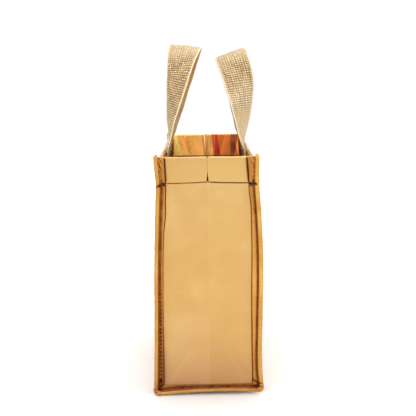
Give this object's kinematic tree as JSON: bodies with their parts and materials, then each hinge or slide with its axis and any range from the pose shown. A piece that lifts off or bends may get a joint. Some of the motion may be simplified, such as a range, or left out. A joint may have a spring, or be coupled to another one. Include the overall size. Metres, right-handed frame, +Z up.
{
  "type": "gift bag",
  "caption": "Tall open-topped gusseted gift bag of metallic laminated non-woven sheet with bound outside seams, an inward-folded hem and twisted glitter-ribbon handles.",
  "frame": {"origin": "centre of the footprint, on the surface that the bag stands on", "axes": "+Z up through the mouth; -Y out of the front panel; +X out of the right gusset, along the bag's width"},
  "size_m": [0.2152, 0.1216, 0.3745],
  "materials": {
    "gold_film": "satin metallic laminate on non-woven",
    "gold_binding_tape": "glossy metallic tape",
    "glitter_webbing": "coarse lurex weave with glitter",
    "smooth_backing": "smooth metallic backing ribbon",
    "brown_gold_thread": "matte sewing thread"
  },
  "bodies": {
    "bag": {"body_sheet": "gold_film", "right_gusset": "gold_film", "left_gusset": "gold_film", "right_edge_binding": "gold_binding_tape", "left_edge_binding": "gold_binding_tape", "right_seam_thread": "brown_gold_thread", "left_seam_thread": "brown_gold_thread", "right_hem_thread": "brown_gold_thread", "left_hem_thread": "brown_gold_thread", "front_hem_thread": "brown_gold_thread", "back_hem_thread": "brown_gold_thread", "front_handle_right_end": "glitter_webbing", "front_handle_right_stitching": "brown_gold_thread", "front_handle_left_end": "glitter_webbing", "front_handle_left_stitching": "brown_gold_thread", "back_handle_right_end": "glitter_webbing", "back_handle_right_stitching": "brown_gold_thread", "back_handle_left_end": "glitter_webbing", "back_handle_left_stitching": "brown_gold_thread"},
    "front_handle": {"front_handle_webbing": "glitter_webbing", "front_handle_backing": "smooth_backing"},
    "back_handle": {"back_handle_webbing": "glitter_webbing", "back_handle_backing": "smooth_backing"}
  },
  "joints": [
    {"name": "front_handle_swing", "type": "hinge", "parent": "bag", "child": "front_handle", "pos_m": [0, -0.0469, 0.26], "axis": [1, 0, 0], "range_deg": [-7, 155], "stiffness_Nm_per_rad": 0.05},
    {"name": "back_handle_swing", "type": "hinge", "parent": "bag", "child": "back_handle", "pos_m": [0, 0.0469, 0.26], "axis": [-1, 0, 0], "range_deg": [-7, 150], "stiffness_Nm_per_rad": 0.05}
  ]
}
